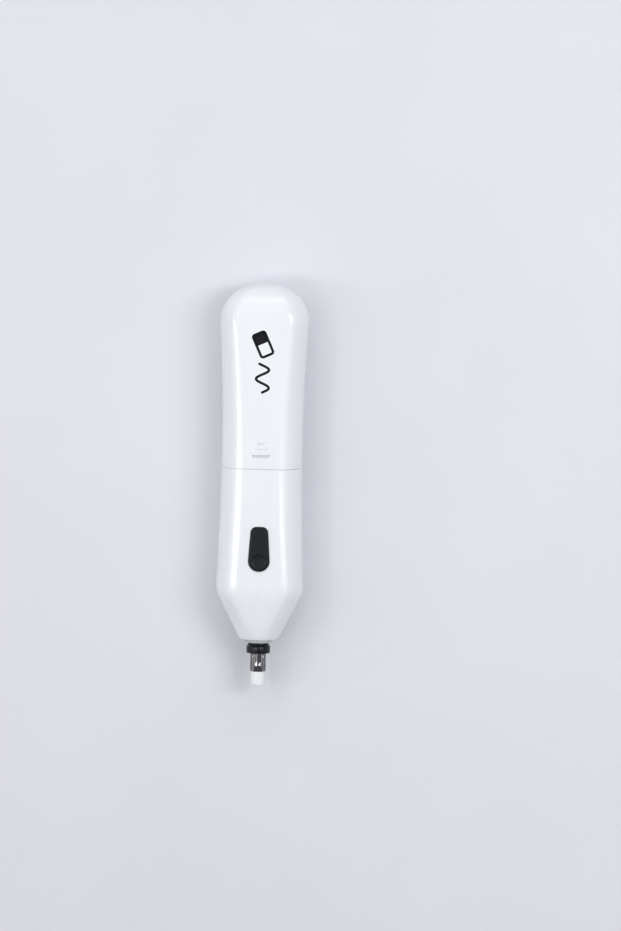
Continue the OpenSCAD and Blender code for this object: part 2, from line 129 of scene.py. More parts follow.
def make_lights():
    """Soft light from above and around, and narrow lights that draw the lines along the creases."""
    area_light("top_light", (-0.45, 0.32, 1.0), (0.75, 0.32, 1.0), 0.9, 1.65)
    area_light("cap_light", (-0.5, 1.0, 0.6), (0.5, 1.0, 0.6), 0.5, 2.6)
    area_light("left_light", (-1.0, -0.5, 0.3), (-1.0, 0.5, 0.3), 0.4, 1.2)
    area_light("right_light", (1.0, -0.5, 0.2), (1.0, 0.5, 0.2), 0.4, 0.4)
    area_light("left_line", (-1.2, 0.07, 0.6), (-0.13, -0.09, 0.6), 0.085, 1.9)
    area_light("right_line", (0.1, -0.055, 0.6), (0.62, -0.09, 0.6), 0.03, 0.3)
    area_light("dome_left", (-0.36, 0.08, 0.6), (-0.36, 0.5, 0.6), 0.06, 0.5)
    area_light("dome_right", (0.2, 0.13, 0.6), (0.68, 0.13, 0.6), 0.15, 1.9)
    area_light("chuck_left", (-0.75, -0.14, 0.6), (-0.55, -0.14, 0.6), 0.12, 0.22)
    area_light("chuck_right", (0.75, -0.14, 0.6), (0.95, -0.14, 0.6), 0.12, 0.2)
    world = bpy.data.worlds.new("studio")
    world.use_nodes = True
    sky = world.node_tree.nodes["Background"]
    sky.inputs["Color"].default_value = (0.93, 0.95, 1, 1)
    sky.inputs["Strength"].default_value = 0.343
    bpy.context.scene.world = world
    bpy.context.scene.view_settings.view_transform = "Standard"


# ---- materials ----

class Paint:
    """A material's shader with the nodes that vary it, all in the piece's own coordinates."""

    def __init__(self, name, color, roughness, metallic=0.0):
        self.material = bpy.data.materials.new(name)
        self.material.use_nodes = True
        self.nodes = self.material.node_tree.nodes
        self.links = self.material.node_tree.links
        self.shader = self.nodes["Principled BSDF"]
        self.shader.inputs["Base Color"].default_value = (*color, 1)
        self.shader.inputs["Roughness"].default_value = roughness
        self.shader.inputs["Metallic"].default_value = metallic
        self.material.diffuse_color = (*color, 1)
        self.where = self.nodes.new("ShaderNodeTexCoord").outputs["Object"]

    def noise(self, scale, detail=3.0, stretch=(1, 1, 1)):
        """Noise of so many cells a millimetre, stretched along an axis."""
        mapping = self.nodes.new("ShaderNodeMapping")
        mapping.inputs["Scale"].default_value = [scale / MM * k for k in stretch]
        self.links.new(self.where, mapping.inputs["Vector"])
        noise = self.nodes.new("ShaderNodeTexNoise")
        noise.inputs["Detail"].default_value = detail
        noise.inputs["Scale"].default_value = 1
        self.links.new(mapping.outputs["Vector"], noise.inputs["Vector"])
        return noise.outputs["Fac"]

    def blend(self, factor, low, high, spread=(0.3, 0.7)):
        """Two colours, blended by a factor."""
        ramp = self.nodes.new("ShaderNodeValToRGB")
        ramp.color_ramp.elements[0].position = spread[0]
        ramp.color_ramp.elements[1].position = spread[1]
        ramp.color_ramp.elements[0].color = (*low, 1)
        ramp.color_ramp.elements[1].color = (*high, 1)
        self.links.new(factor, ramp.inputs["Fac"])
        return ramp.outputs["Color"]

    def remap(self, factor, low, high, spread=(0.3, 0.7)):
        """A factor, stretched to run from low to high."""
        remap = self.nodes.new("ShaderNodeMapRange")
        remap.inputs["From Min"].default_value = spread[0]
        remap.inputs["From Max"].default_value = spread[1]
        remap.inputs["To Min"].default_value = low
        remap.inputs["To Max"].default_value = high
        self.links.new(factor, remap.inputs["Value"])
        return remap.outputs["Result"]

    def wear(self, factor, low, high):
        """Roughness between two values."""
        self.links.new(self.remap(factor, low, high), self.shader.inputs["Roughness"])

    def tint(self, factor, low, high, spread=(0.3, 0.7)):
        """Base colour between two values."""
        self.links.new(self.blend(factor, low, high, spread), self.shader.inputs["Base Color"])

    def bump(self, factor, height):
        """Relief of so many millimetres."""
        bump = self.nodes.new("ShaderNodeBump")
        bump.inputs["Distance"].default_value = height * MM
        bump.inputs["Strength"].default_value = 1
        self.links.new(factor, bump.inputs["Height"])
        self.links.new(bump.outputs["Normal"], self.shader.inputs["Normal"])

    def wave(self, scale, axis="Y", profile="SIN"):
        """Bands across an axis, so many a millimetre."""
        mapping = self.nodes.new("ShaderNodeMapping")
        mapping.inputs["Scale"].default_value = [1 / MM] * 3
        self.links.new(self.where, mapping.inputs["Vector"])
        wave = self.nodes.new("ShaderNodeTexWave")
        wave.bands_direction = axis
        wave.wave_profile = profile
        wave.inputs["Scale"].default_value = scale * math.pi / 10
        self.links.new(mapping.outputs["Vector"], wave.inputs["Vector"])
        return wave.outputs["Fac"]


def scaled(color, k):
    """A colour made lighter or darker."""
    return tuple(min(1.0, c * k) for c in color)


def shell_plastic():
    """White glossy moulded plastic: faint flow marks along the body and a fine mould grain."""
    white = (0.80, 0.825, 0.85)
    paint = Paint("shell_plastic", white, 0.15)
    flow = paint.noise(0.25, 2, (1, 0.12, 1))
    paint.tint(flow, scaled(white, 0.985), scaled(white, 1.01))
    paint.wear(paint.noise(0.8, 4), 0.12, 0.18)
    paint.bump(paint.noise(4, 2), 0.0008)
    return paint.material


def black_plastic(name, color, smooth, dull, shine=0.5):
    """Black moulded plastic with a slight bluish cast and handling marks."""
    paint = Paint(name, color, smooth)
    paint.shader.inputs["Specular IOR Level"].default_value = shine
    paint.tint(paint.noise(0.6, 3), color, scaled(color, 1.35))
    paint.wear(paint.noise(1.6, 5), smooth, dull)
    paint.bump(paint.noise(7, 3), 0.002)
    return paint.material


def matt_plastic(name, color, roughness=0.5):
    """A plain moulded plastic for inner parts, with a fine spark-eroded grain."""
    paint = Paint(name, color, roughness)
    paint.tint(paint.noise(0.5, 3), scaled(color, 0.94), scaled(color, 1.05))
    paint.wear(paint.noise(1.2, 4), roughness - 0.08, roughness + 0.1)
    paint.bump(paint.noise(9, 2), 0.004)
    return paint.material


def polished_metal(name, color, smooth, dull):
    """Plated metal: clear reflections with faint wipe marks."""
    paint = Paint(name, color, smooth, 1.0)
    paint.tint(paint.noise(0.9, 4), scaled(color, 0.9), color)
    paint.wear(paint.noise(2.5, 6, (1, 0.3, 1)), smooth, dull)
    paint.bump(paint.noise(12, 3, (1, 0.15, 1)), 0.0008)
    return paint.material


def brushed_metal(name, color, roughness):
    """Drawn or stamped metal with fine lines along the body."""
    paint = Paint(name, color, roughness, 1.0)
    paint.tint(paint.noise(1.1, 4), scaled(color, 0.85), scaled(color, 1.05))
    paint.wear(paint.noise(14, 3, (1, 0.06, 1)), roughness - 0.08, roughness + 0.12)
    paint.bump(paint.noise(16, 2, (1, 0.05, 1)), 0.0015)
    return paint.material


def eraser_vinyl():
    """White vinyl: soft, slightly waxy and faintly speckled, with light showing into it."""
    white = (0.80, 0.82, 0.83)
    paint = Paint("eraser_vinyl", white, 0.5)
    paint.tint(paint.noise(1.4, 5), scaled(white, 0.955), scaled(white, 1.015))
    paint.wear(paint.noise(2, 4), 0.42, 0.6)
    paint.bump(paint.noise(3.5, 5), 0.02)
    paint.shader.inputs["Subsurface Weight"].default_value = 0.12
    paint.shader.inputs["Subsurface Scale"].default_value = 0.8 * MM
    paint.shader.inputs["Subsurface Radius"].default_value = (1, 0.95, 0.9)
    return paint.material


def print_ink():
    """Pad-printed black ink, a little uneven at its edges and in its gloss."""
    ink = (0.005, 0.0055, 0.007)
    paint = Paint("print_ink", ink, 0.38)
    paint.shader.inputs["Specular IOR Level"].default_value = 0.15
    paint.tint(paint.noise(3, 4), ink, scaled(ink, 1.8))
    paint.wear(paint.noise(4, 4), 0.3, 0.48)
    paint.bump(paint.noise(10, 3), 0.002)
    return paint.material


def cell_film(low, high):
    """Printed film around a cell: a dark body with a copper band at its positive end."""
    body, band = (0.03, 0.045, 0.06), (0.62, 0.33, 0.14)
    paint = Paint("cell_film", body, 0.3)
    parts = paint.nodes.new("ShaderNodeSeparateXYZ")
    paint.links.new(paint.where, parts.inputs["Vector"])
    along = paint.remap(parts.outputs["Y"], 0, 1, (low, high))
    ramp = paint.nodes.new("ShaderNodeValToRGB")
    ramp.color_ramp.interpolation = "CONSTANT"
    ramp.color_ramp.elements[0].color = (*band, 1)
    ramp.color_ramp.elements[1].position = 0.24
    ramp.color_ramp.elements[1].color = (*body, 1)
    paint.links.new(along, ramp.inputs["Fac"])
    paint.links.new(ramp.outputs["Color"], paint.shader.inputs["Base Color"])
    paint.wear(paint.noise(1.5, 4), 0.2, 0.36)
    paint.bump(paint.noise(1.2, 2), 0.01)
    paint.shader.inputs["Coat Weight"].default_value = 0.5
    return paint.material


def wound_copper():
    """Enamelled copper wire, wound in turns along the body, with painted shade darkening the grooves between
    the turns.
    """
    copper = (0.55, 0.17, 0.06)
    paint = Paint("wound_copper", copper, 0.3, 0.9)
    turns = paint.wave(5)
    # Painted shade: the low part of the wave, the groove between turns, is darkened to less than half the
    # copper's colour.
    paint.tint(turns, scaled(copper, 0.45), copper, (0.1, 0.9))
    paint.wear(paint.noise(2, 3), 0.24, 0.4)
    paint.bump(turns, 0.08)
    return paint.material


def wire_vinyl(name, color):
    """Soft coloured insulation."""
    paint = Paint(name, color, 0.42)
    paint.tint(paint.noise(1, 3), scaled(color, 0.85), scaled(color, 1.1))
    paint.wear(paint.noise(2, 3), 0.35, 0.5)
    paint.bump(paint.noise(5, 3), 0.004)
    return paint.material


def floor_paper():
    """Plain pale studio paper."""
    grey = (0.70, 0.70, 0.745)
    paint = Paint("floor_paper", grey, 0.8)
    paint.tint(paint.noise(0.02, 3), scaled(grey, 0.985), scaled(grey, 1.01))
    paint.bump(paint.noise(2, 4), 0.01)
    return paint.material


# ---- mesh tools ----

SQUARE = ((-1, -1), (1, -1), (1, 1), (-1, 1))


def add_object(name, bm, material):
    """A mesh object from a bmesh, with its normals pointing outwards."""
    bmesh.ops.recalc_face_normals(bm, faces=bm.faces)
    mesh = bpy.data.meshes.new(name)
    bm.to_mesh(mesh)
    bm.free()
    piece = bpy.data.objects.new(name, mesh)
    bpy.context.scene.collection.objects.link(piece)
    mesh.materials.append(material)
    return piece


def join_rings(bm, rings, closed=True, wrap=False):
    """Faces between rings of vertices. A ring of one vertex is a pole."""
    pairs = list(zip(rings, rings[1:] + rings[:1])) if wrap else list(zip(rings, rings[1:]))
    for a, b in pairs:
        count = max(len(a), len(b))
        for i in range(count if closed else count - 1):
            j = (i + 1) % count
            corners = [a[i % len(a)], a[j % len(a)], b[j % len(b)], b[i % len(b)]]
            unique = [v for k, v in enumerate(corners) if v not in corners[:k]]
            if len(unique) > 2:
                bm.faces.new(unique)


def add_ring(bm, points):
    """Vertices at points given in the frame."""
    return [bm.verts.new(p) for p in points]


def stack(bm, rings):
    """A solid through rings of points, closed by a face at each end."""
    rings = [add_ring(bm, ring) for ring in rings]
    join_rings(bm, rings)
    bm.faces.new(rings[0][::-1])
    bm.faces.new(rings[-1])


def circle(x, s, r, z, steps):
    """Points on a circle about an axis from back to front, at one height."""
    turns = [math.tau * k / steps for k in range(steps)]
    return [place(x + r * math.cos(a), s + r * math.sin(a), z) for a in turns]


def rounded(corners, closed=False, steps=5):
    """An outline through (radius, station, rounding) corners, each rounded by its own amount."""
    outline = []
    last = len(corners) - 1
    for i, (r, s, rounding) in enumerate(corners):
        here = Vector((r, s))
        if rounding == 0 or (not closed and i in (0, last)):
            outline.append(here)
            continue
        before = Vector(corners[i - 1][:2]) - here
        after = Vector(corners[(i + 1) % len(corners)][:2]) - here
        start = here + before.normalized() * min(rounding, before.length * 0.49)
        end = here + after.normalized() * min(rounding, after.length * 0.49)
        for k in range(steps + 1):
            t = k / steps
            outline.append((1 - t) ** 2 * start + 2 * t * (1 - t) * here + t * t * end)
    return outline


def lathe(bm, outline, steps=96, closed=False, x=0.0, z=0.0):
    """Turns an outline of (radius, station) points about an axis along the body."""
    rings = []
    for r, s in outline:
        if r < 1e-6:
            rings.append(add_ring(bm, [place(x, s, z)]))
            continue
        turns = [math.tau * (k + 0.3) / steps for k in range(steps)]
        points = [place(x + r * math.cos(a), s, z + r * math.sin(a)) for a in turns]
        rings.append(add_ring(bm, points))
    join_rings(bm, rings, wrap=closed)


def sweep(bm, path, radius, sides=12):
    """A round tube along points in the frame, with rounded ends."""
    path = [Vector(p) for p in path]
    last = len(path) - 1
    across = None
    rings = []
    for i, point in enumerate(path):
        ahead = (path[min(i + 1, last)] - path[max(i - 1, 0)]).normalized()
        across = across or ahead.orthogonal()
        across = (across - across.dot(ahead) * ahead).normalized()
        up = ahead.cross(across)
        sizes = [(0, 1)]
        if i in (0, last):
            sizes = [(k, math.sqrt(1 - k * k)) for k in (0.85, 0.5, 0)]
        if i == last:
            sizes = sizes[::-1]
        sign = -1 if i == 0 else 1
        for shift, size in sizes:
            centre = point + ahead * (radius * shift * 0.6 * sign)
            turns = [math.tau * k / sides for k in range(sides)]
            rings.append([centre + radius * size * (math.cos(a) * across + math.sin(a) * up) for a in turns])
    stack(bm, rings)


def smooth_path(points, steps=8):
    """A smooth curve through points."""
    points = [Vector(p) for p in points]
    padded = [2 * points[0] - points[1]] + points + [2 * points[-1] - points[-2]]
    path = []
    for i in range(1, len(padded) - 2):
        a, b, c, d = padded[i - 1:i + 3]
        for k in range(steps):
            t = k / steps
            path.append(0.5 * (2 * b + (c - a) * t + (2 * a - 5 * b + 4 * c - d) * t ** 2
                               + (3 * b - a - 3 * c + d) * t ** 3))
    return path + [points[-1]]


def bake_modifiers(piece):
    """Replaces a piece's mesh by what its modifiers make of it."""
    shape = bpy.data.meshes.new_from_object(piece.evaluated_get(bpy.context.evaluated_depsgraph_get()))
    piece.modifiers.clear()
    piece.data = shape


def combine(piece, other, operation):
    """Cuts, joins or intersects a piece with another, which is used up."""
    boolean = piece.modifiers.new("boolean", "BOOLEAN")
    boolean.operation = operation
    boolean.solver = "EXACT"
    boolean.object = other
    bake_modifiers(piece)
    bpy.data.objects.remove(other)


def smooth_faces(piece, sharp=32):
    """Smooth shading with crisp edges past an angle, weighted by face area."""
    piece.data.shade_smooth()
    piece.data.set_sharp_from_angle(angle=math.radians(sharp))
    weighted = piece.modifiers.new("weighted", "WEIGHTED_NORMAL")
    weighted.keep_sharp = True


def finish_piece(piece, body, nodes):
    """Puts a piece in place of CAD nodes on a body."""
    smooth_faces(piece)
    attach(piece, body)
    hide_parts(*nodes)


# ---- the body's form ----

SEAM = reach("battery_cover")[0]
SEAM_GAP = 0.07
HALF_DEPTH = AXIS_Z / MM
WAIST_R, WAIST_S = 12.6, 62.3
SHOULDER_S, SHOULDER_SWELL = 15.0, 1.1
DOME_S, DOME_SWELL = 99.0, 1.2
DOME_POWER = 2.2
FLAT_END_S = 101.0
NOSE_R, NOSE_ROUND = 6.6, 0.9
NOSE_HALF = 6.9
SHOULDER_BLEND = 1.3
FLAT_BLEND = 0.7
CREASE = 24
HOUSING_WALL = 1.7
COVER_WALL = 1.45
EMBED = 0.08
NOSE_HOLE_R = 4.1
PARTING = 0.1
PARTING_GAP = 0.02


def smooth_min(a, b, width):
    """The lower of two values, blended where they are close."""
    h = min(1.0, max(0.0, 0.5 + 0.5 * (b - a) / width))
    return b * (1 - h) + a * h - width * h * (1 - h)


def dome(s, start, end):
    """How wide the rounded cap still is at a station, from 1 to 0."""
    if s <= start:
        return 1.0
    t = min(1.0, (s - start) / (end - start))
    return (1 - t ** DOME_POWER) ** (1 / DOME_POWER)


def half_width(s, inset=0.0):
    """Half of the body's width at a station, for a surface set in from the outside."""
    slope = (WAIST_R + SHOULDER_SWELL - NOSE_R) / (SHOULDER_S - NOSE_ROUND)
    cone = NOSE_R + slope * (s - NOSE_ROUND)
    if s < WAIST_S:
        barrel = WAIST_R + SHOULDER_SWELL * ((WAIST_S - s) / (WAIST_S - SHOULDER_S)) ** 2
    else:
        barrel = WAIST_R + DOME_SWELL * ((min(s, DOME_S) - WAIST_S) / (DOME_S - WAIST_S)) ** 2
    return (smooth_min(cone, barrel, SHOULDER_BLEND) - inset) * dome(s, DOME_S, BODY_L - inset)


def half_depth(s, inset=0.0):
    """Half of the body's depth at a station, for a surface set in from the outside."""
    wedge = NOSE_HALF + (HALF_DEPTH - NOSE_HALF) * (s - NOSE_ROUND) / (SHOULDER_S - NOSE_ROUND)
    return (smooth_min(wedge, HALF_DEPTH, FLAT_BLEND) - inset) * dome(s, FLAT_END_S, BODY_L - inset)


def section(angle, s, inset=0.0):
    """Distance from the axis to the surface: a circle whose front and back are flattened softly."""
    wide, deep = half_width(s, inset), half_depth(s, inset)
    if wide < 1e-6 or deep < 1e-6:
        return 0.0
    return wide * (1 + (wide * abs(math.sin(angle)) / deep) ** CREASE) ** (-1 / CREASE)


def surface_point(angle, s, inset=0.0):
    """A point of the body's surface, in the frame."""
    r = section(angle, s, inset)
    return place(r * math.cos(angle), s, r * math.sin(angle))


def span(start, end, step):
    """Even stations from start to end."""
    count = max(1, round(abs(end - start) / step))
    return [start + (end - start) * k / count for k in range(count + 1)]


def dome_stations(inset=0.0):
    """Stations of the rounded cap, closer together towards its end."""
    steps = 26
    rise = BODY_L - inset - DOME_S
    return [DOME_S + rise * math.sin(math.pi / 2 * k / steps) ** (2 / DOME_POWER) for k in range(1, steps)]


def arc(centre_r, centre_s, radius, start, end, steps=5):
    """Points (radius, station) on an arc between two angles in degrees."""
    angles = [math.radians(start + (end - start) * k / steps) for k in range(steps + 1)]
    return [(centre_r + radius * math.cos(a), centre_s + radius * math.sin(a)) for a in angles]


def housing_loop(angle):
    """The closed outline of the housing's wall at one angle about the axis."""
    lip = 0.1
    end = SEAM - SEAM_GAP
    nose_lean = 27
    nose_s = NOSE_ROUND * (1 - math.sin(math.radians(nose_lean)))
    rim_r = section(angle, end - lip)
    nose_r = section(angle, nose_s) - NOSE_ROUND * math.cos(math.radians(nose_lean))
    loop = arc(rim_r - lip, end - lip, lip, 90, 0)
    loop += [(section(angle, s), s) for s in span(end - lip, 22, 1.6)[1:]]
    loop += [(section(angle, s), s) for s in span(22, 9, 0.5)[1:]]
    loop += [(section(angle, s), s) for s in span(9, nose_s, 1)[1:-1]]
    loop += arc(nose_r, NOSE_ROUND, NOSE_ROUND, -nose_lean, -90, 8)
    loop += arc(NOSE_HOLE_R + 0.2, 0.2, 0.2, 270, 180)
    loop += [(NOSE_HOLE_R, HOUSING_WALL)]
    loop += [(section(angle, s, HOUSING_WALL), s) for s in span(HOUSING_WALL, end, 1.6)]
    return loop


def housing_shell(name, front, material):
    """One half of the housing, from one parting edge round to the other."""
    sign = 1 if front else -1
    steps = 96
    edge = PARTING / WAIST_R
    angles = [0, edge] + [edge + (math.pi - 2 * edge) * k / steps for k in range(1, steps)]
    angles += [math.pi - edge, math.pi]
    bm = bmesh.new()
    columns = []
    for i, angle in enumerate(angles):
        loop = housing_loop(angle)
        if i in (0, len(angles) - 1):
            loop = [(r - PARTING if r > section(angle, s) - 0.7 else r, s) for r, s in loop]
        across, up = math.cos(angle), math.sin(angle)
        columns.append(add_ring(bm, [place(r * across, s, sign * max(r * up, PARTING_GAP / 2))
                                     for r, s in loop]))
    join_rings(bm, columns)
    bm.faces.new(columns[0])
    bm.faces.new(columns[-1])
    return add_object(name, bm, material)


def cover_shell(name, material):
    """The battery cover, from the tip of its dome round the open rim to the tip inside."""
    lip = 0.12
    columns = 200
    bm = bmesh.new()
    outside = dome_stations()[::-1] + span(DOME_S, SEAM + lip, 1.5)
    inside = span(SEAM + lip, DOME_S, 1.5) + dome_stations(COVER_WALL)
    angles = [math.tau * k / columns for k in range(columns)]
    rings = [add_ring(bm, [place(0, BODY_L, 0)])]
    for s in outside[:-1]:
        rings.append(add_ring(bm, [surface_point(a, s) for a in angles]))
    for k in range(6):
        turn = math.radians(18 * k)
        drop, s = lip * (1 - math.cos(turn)), SEAM + lip * (1 - math.sin(turn))
        radii = [section(a, SEAM + lip) - drop for a in angles]
        points = [place(r * math.cos(a), s, r * math.sin(a)) for r, a in zip(radii, angles)]
        rings.append(add_ring(bm, points))
    for s in [SEAM] + inside:
        rings.append(add_ring(bm, [surface_point(a, s, COVER_WALL) for a in angles]))
    rings.append(add_ring(bm, [place(0, BODY_L - COVER_WALL, 0)]))
    join_rings(bm, rings)
    return add_object(name, bm, material)


def core_solid(stations, side):
    """The space inside (station, inset) pairs, whole (side 0) or its front or back half (1 or -1)."""
    near = 0.03
    steps = 80
    first, last = (0, 2 * steps - 1) if side == 0 else (0, steps)
    bm = bmesh.new()
    rings = []
    for s, inset in stations:
        ring = []
        for k in range(first, last + 1):
            a = math.pi * k / steps
            r = section(a, s, inset)
            z = r * math.sin(a) if side == 0 else side * max(r * math.sin(a), near)
            ring.append(place(r * math.cos(a), s, z))
        rings.append(ring)
    stack(bm, rings)
    return add_object("core_solid", bm, None)


def welded_copy(node):
    """A copy of a CAD node as a new object, with its split corners joined."""
    piece = bpy.data.objects.new(node + "_copy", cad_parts[node].data.copy())
    bpy.context.scene.collection.objects.link(piece)
    bm = bmesh.new()
    bm.from_mesh(piece.data)
    bmesh.ops.remove_doubles(bm, verts=bm.verts, dist=0.0005 * MM)
    bm.to_mesh(piece.data)
    bm.free()
    return piece


def add_inner_parts(shell, node, stations, side=0):
    """Gives a shell the ribs, bosses and tongues that the CAD node has inside."""
    inner = welded_copy(node)
    combine(inner, core_solid(stations, side), "INTERSECT")
    combine(shell, inner, "UNION")


# ---- switch ----

PAD_S, PAD_R = 25.4, 3.05
SWITCH_END_S, SWITCH_END_W, SWITCH_CORNER = 35.8, 4.9, 1.5
SWITCH_GAP = 0.25


def switch_ring(grow, z, count=96):
    """The switch's outline at a height, grown by a margin: two small corners and the round pad."""
    side = SWITCH_END_W / 2 - SWITCH_CORNER
    circles = [(0, PAD_S, PAD_R), (side, SWITCH_END_S - SWITCH_CORNER, SWITCH_CORNER),
               (-side, SWITCH_END_S - SWITCH_CORNER, SWITCH_CORNER)]
    ring = []
    for k in range(count):
        a = math.tau * (k + 0.5) / count
        x, s, r = max(circles, key=lambda c: c[0] * math.cos(a) + c[1] * math.sin(a) + c[2])
        ring.append(place(x + (r + grow) * math.cos(a), s + (r + grow) * math.sin(a), z))
    return ring


def edge_profile(inner, top, radius, steps=6):
    """(grow, height) pairs of an outward-flaring rounded edge that ends at height top."""
    turns = [math.pi / 2 * k / steps for k in range(steps + 1)]
    return [(inner + radius * (1 - math.cos(t)), top - radius + radius * math.sin(t)) for t in turns]


def switch_cutter():
    """The hole for the switch, with a softly rounded edge at the surface."""
    bm = bmesh.new()
    pairs = [(SWITCH_GAP, 5.0)] + edge_profile(SWITCH_GAP, HALF_DEPTH, 0.22)
    pairs.append((pairs[-1][0] + 0.4, HALF_DEPTH + 0.4))
    stack(bm, [switch_ring(grow, z) for grow, z in pairs])
    return add_object("switch_cutter", bm, None)


def make_switch(material):
    """The black press lever: rounded top edges, a dished pad, a retaining flange and hinge pins."""
    low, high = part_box("switch_button")
    top, bottom = (high.z - AXIS_Z) / MM, (low.z - AXIS_Z) / MM
    hinge_s, hinge_z, hinge_r = 38.0, 8.1, 0.5
    flange_low, flange_high, flange_grow = 7.75, 8.5, 0.75
    edge = 0.42
    bm = bmesh.new()
    pairs = [(flange_grow - 0.1, flange_low), (flange_grow, flange_low + 0.1),
             (flange_grow, flange_high - 0.1), (flange_grow - 0.1, flange_high), (0.02, flange_high),
             (0.0, flange_high + 0.1)]
    pairs += [(-edge * (1 - math.cos(t)), top - edge + edge * math.sin(t))
              for t in [math.pi / 2 * k / 8 for k in range(9)]]
    stack(bm, [switch_ring(grow, z) for grow, z in pairs])
    lever = add_object("switch_button_piece", bm, material)

    arm = bmesh.new()
    half, soft = 2.0, 0.15
    shape = [(-half + soft, flange_low), (half - soft, flange_low), (half, flange_low + soft),
             (half, flange_high - soft), (half - soft, flange_high), (-half + soft, flange_high),
             (-half, flange_high - soft), (-half, flange_low + soft)]
    stack(arm, [[place(x, s, z) for x, z in shape] for s in (SWITCH_END_S - 2, hinge_s + 0.7)])
    combine(lever, add_object("arm", arm, material), "UNION")

    pins = bmesh.new()
    for side in (-1, 1):
        spots = [(1.8, hinge_r), (3.65, hinge_r), (3.8, hinge_r * 0.7)]
        turns = [math.tau * k / 32 for k in range(32)]
        stack(pins, [[place(side * x, hinge_s + r * math.cos(a), hinge_z + r * math.sin(a))
                      for a in turns] for x, r in spots])
    combine(lever, add_object("pins", pins, material), "UNION")

    dish = bmesh.new()
    bowl = [(1.4, -0.24), (1.75, -0.23), (1.9, -0.19), (2.22, -0.03), (2.3, 0.02), (2.6, 0.3)]
    stack(dish, [circle(0, PAD_S, r, top + z, 64) for r, z in bowl])
    combine(lever, add_object("dish", dish, material), "DIFFERENCE")
    finish_piece(lever, "button", ["switch_button"])


# ---- housing and cover ----

SCREW_X_S = [(6.3, 17.5), (5.0, 48.6)]
SCREW_SEAT_Z = -7.0
SCREW_HEAD_H, SCREW_LENGTH = 1.45, 12.0
RECESS_R = 2.1


def recess_cutter(x, s):
    """The hole for a screw and its head, with a softly rounded edge at the back face."""
    bm = bmesh.new()
    mouth = [(RECESS_R + grow, -z) for grow, z in edge_profile(0.01, HALF_DEPTH, 0.15)]
    pairs = [(RECESS_R + 0.6, -HALF_DEPTH - 0.4)] + mouth[::-1] + [(RECESS_R + 0.01, SCREW_SEAT_Z - 0.6)]
    stack(bm, [circle(x, s, r, z, 48) for r, z in pairs])
    return add_object("recess_cutter", bm, None)


def make_housing(material):
    """Both halves of the housing."""
    inside_seam, tongue_end = SEAM - SEAM_GAP + 0.02, 58.4
    stations = [(s, HOUSING_WALL - EMBED) for s in span(HOUSING_WALL + 0.2, inside_seam, 1.5)]
    stations += [(s, COVER_WALL) for s in span(inside_seam + 0.001, tongue_end, 1.5)]
    front = housing_shell("front_housing_piece", True, material)
    add_inner_parts(front, "front_housing", stations, 1)
    combine(front, switch_cutter(), "DIFFERENCE")
    finish_piece(front, "body", ["front_housing"])

    rear = housing_shell("rear_housing_piece", False, material)
    add_inner_parts(rear, "rear_housing", stations, -1)
    for x, s in SCREW_X_S:
        for side in (-1, 1):
            combine(rear, recess_cutter(side * x, s), "DIFFERENCE")
    finish_piece(rear, "body", ["rear_housing"])


def grip_ridge(bm, s, width):
    """A raised bar with rounded ends and a softly rounded top."""
    half, height, soft = 0.5, 0.25, 0.2
    rings = []
    pairs = [(0, -0.3), (0, height - soft)]
    pairs += [(-soft * (1 - math.cos(t)), height - soft + soft * math.sin(t))
              for t in [math.pi / 2 * k / 5 for k in range(1, 6)]]
    for grow, z in pairs:
        r = half + grow
        ring = []
        for k in range(32):
            a = math.tau * (k + 0.5) / 32
            end = math.copysign(width / 2 - half, math.cos(a))
            ring.append(place(end + r * math.cos(a), s + r * math.sin(a), HALF_DEPTH + z))
        rings.append(ring)
    stack(bm, rings)


def make_cover(material):
    """The battery cover with its three grip ridges."""
    cover = cover_shell("battery_cover_piece", material)
    add_inner_parts(cover, "battery_cover", [(s, COVER_WALL - EMBED) for s in span(60, 99, 1.5)])
    bm = bmesh.new()
    for s, width in [(58.9, 6), (60.7, 4), (62.5, 2)]:
        grip_ridge(bm, s, width)
    combine(cover, add_object("ridges", bm, material), "UNION")
    finish_piece(cover, "cover", ["battery_cover"])


# ---- print on the cover ----

PRINT_LOW, PRINT_HIGH = -0.02, 0.02


def ink_shape(bm, outline):
    """A thin flat patch of ink with an outline of (x, s) points."""
    stack(bm, [[place(x, s, HALF_DEPTH + z) for x, s in outline] for z in (PRINT_LOW, PRINT_HIGH)])


def ink_stroke(bm, path, width, closed=False):
    """A line of ink along a path, with round ends unless it is closed."""
    path = [Vector(p) for p in path]
    last = len(path) - 1
    pairs = []
    for i, point in enumerate(path):
        before = path[i - 1] if closed or i else point
        after = path[(i + 1) % len(path)] if closed or i < last else point
        ahead = (after - before).normalized()
        side = Vector((-ahead.y, ahead.x)) * width / 2
        pairs.append((point + side, point - side))
    if not closed:
        for end, other in ((0, 1), (last, last - 1)):
            facing = math.atan2(path[end].y - path[other].y, path[end].x - path[other].x)
            turns = [facing + math.pi / 2 - math.pi * k / 10 for k in range(11)]
            ink_shape(bm, [path[end] + Vector((math.cos(a), math.sin(a))) * width / 2 for a in turns])
    rings = []
    for left, right in pairs:
        corners = [(left, PRINT_HIGH), (right, PRINT_HIGH), (right, PRINT_LOW), (left, PRINT_LOW)]
        rings.append(add_ring(bm, [place(*spot, HALF_DEPTH + z) for spot, z in corners]))
    join_rings(bm, rings, wrap=closed)
    if not closed:
        bm.faces.new(rings[0][::-1])
        bm.faces.new(rings[-1])


